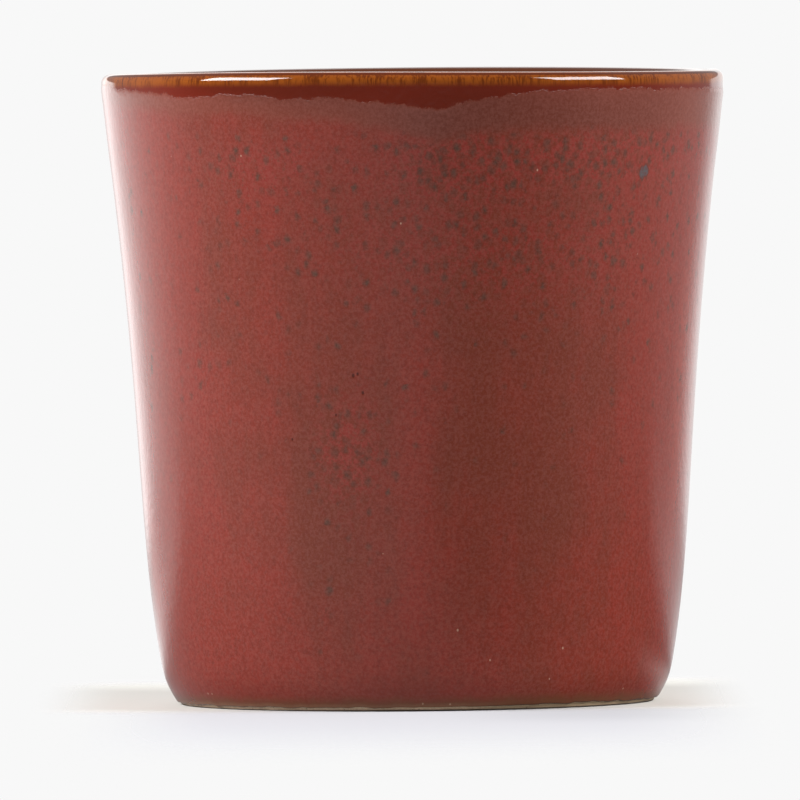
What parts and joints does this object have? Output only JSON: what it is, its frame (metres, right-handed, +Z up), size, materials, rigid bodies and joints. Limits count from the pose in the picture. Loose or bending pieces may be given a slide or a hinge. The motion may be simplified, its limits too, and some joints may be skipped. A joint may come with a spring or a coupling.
{
  "type": "handleless cup",
  "caption": "Handleless glazed stoneware tumbler: flared wall, thin rounded lip, glazed inside and bare turned foot ring; stands on its foot and holds a drink.",
  "frame": {"origin": "centre of the foot ring's resting plane", "axes": "+Z up along the cup's axis of turning; X and Y lie in the resting plane"},
  "size_m": [0.08, 0.08, 0.081],
  "materials": {
    "bare_stoneware": "matt fired clay with fine grog",
    "red_glaze": "satin speckled red glaze",
    "lip_amber_glaze": "gloss, amber on the edge and dark red below",
    "liner_glaze": "gloss dark red brown",
    "foot_recess_glaze": "satin dark red brown"
  },
  "bodies": {
    "root": {"clay_body": "bare_stoneware", "outer_glaze": "red_glaze", "lip_glaze": "lip_amber_glaze", "inner_glaze": "liner_glaze", "recess_glaze": "foot_recess_glaze"}
  },
  "joints": []
}
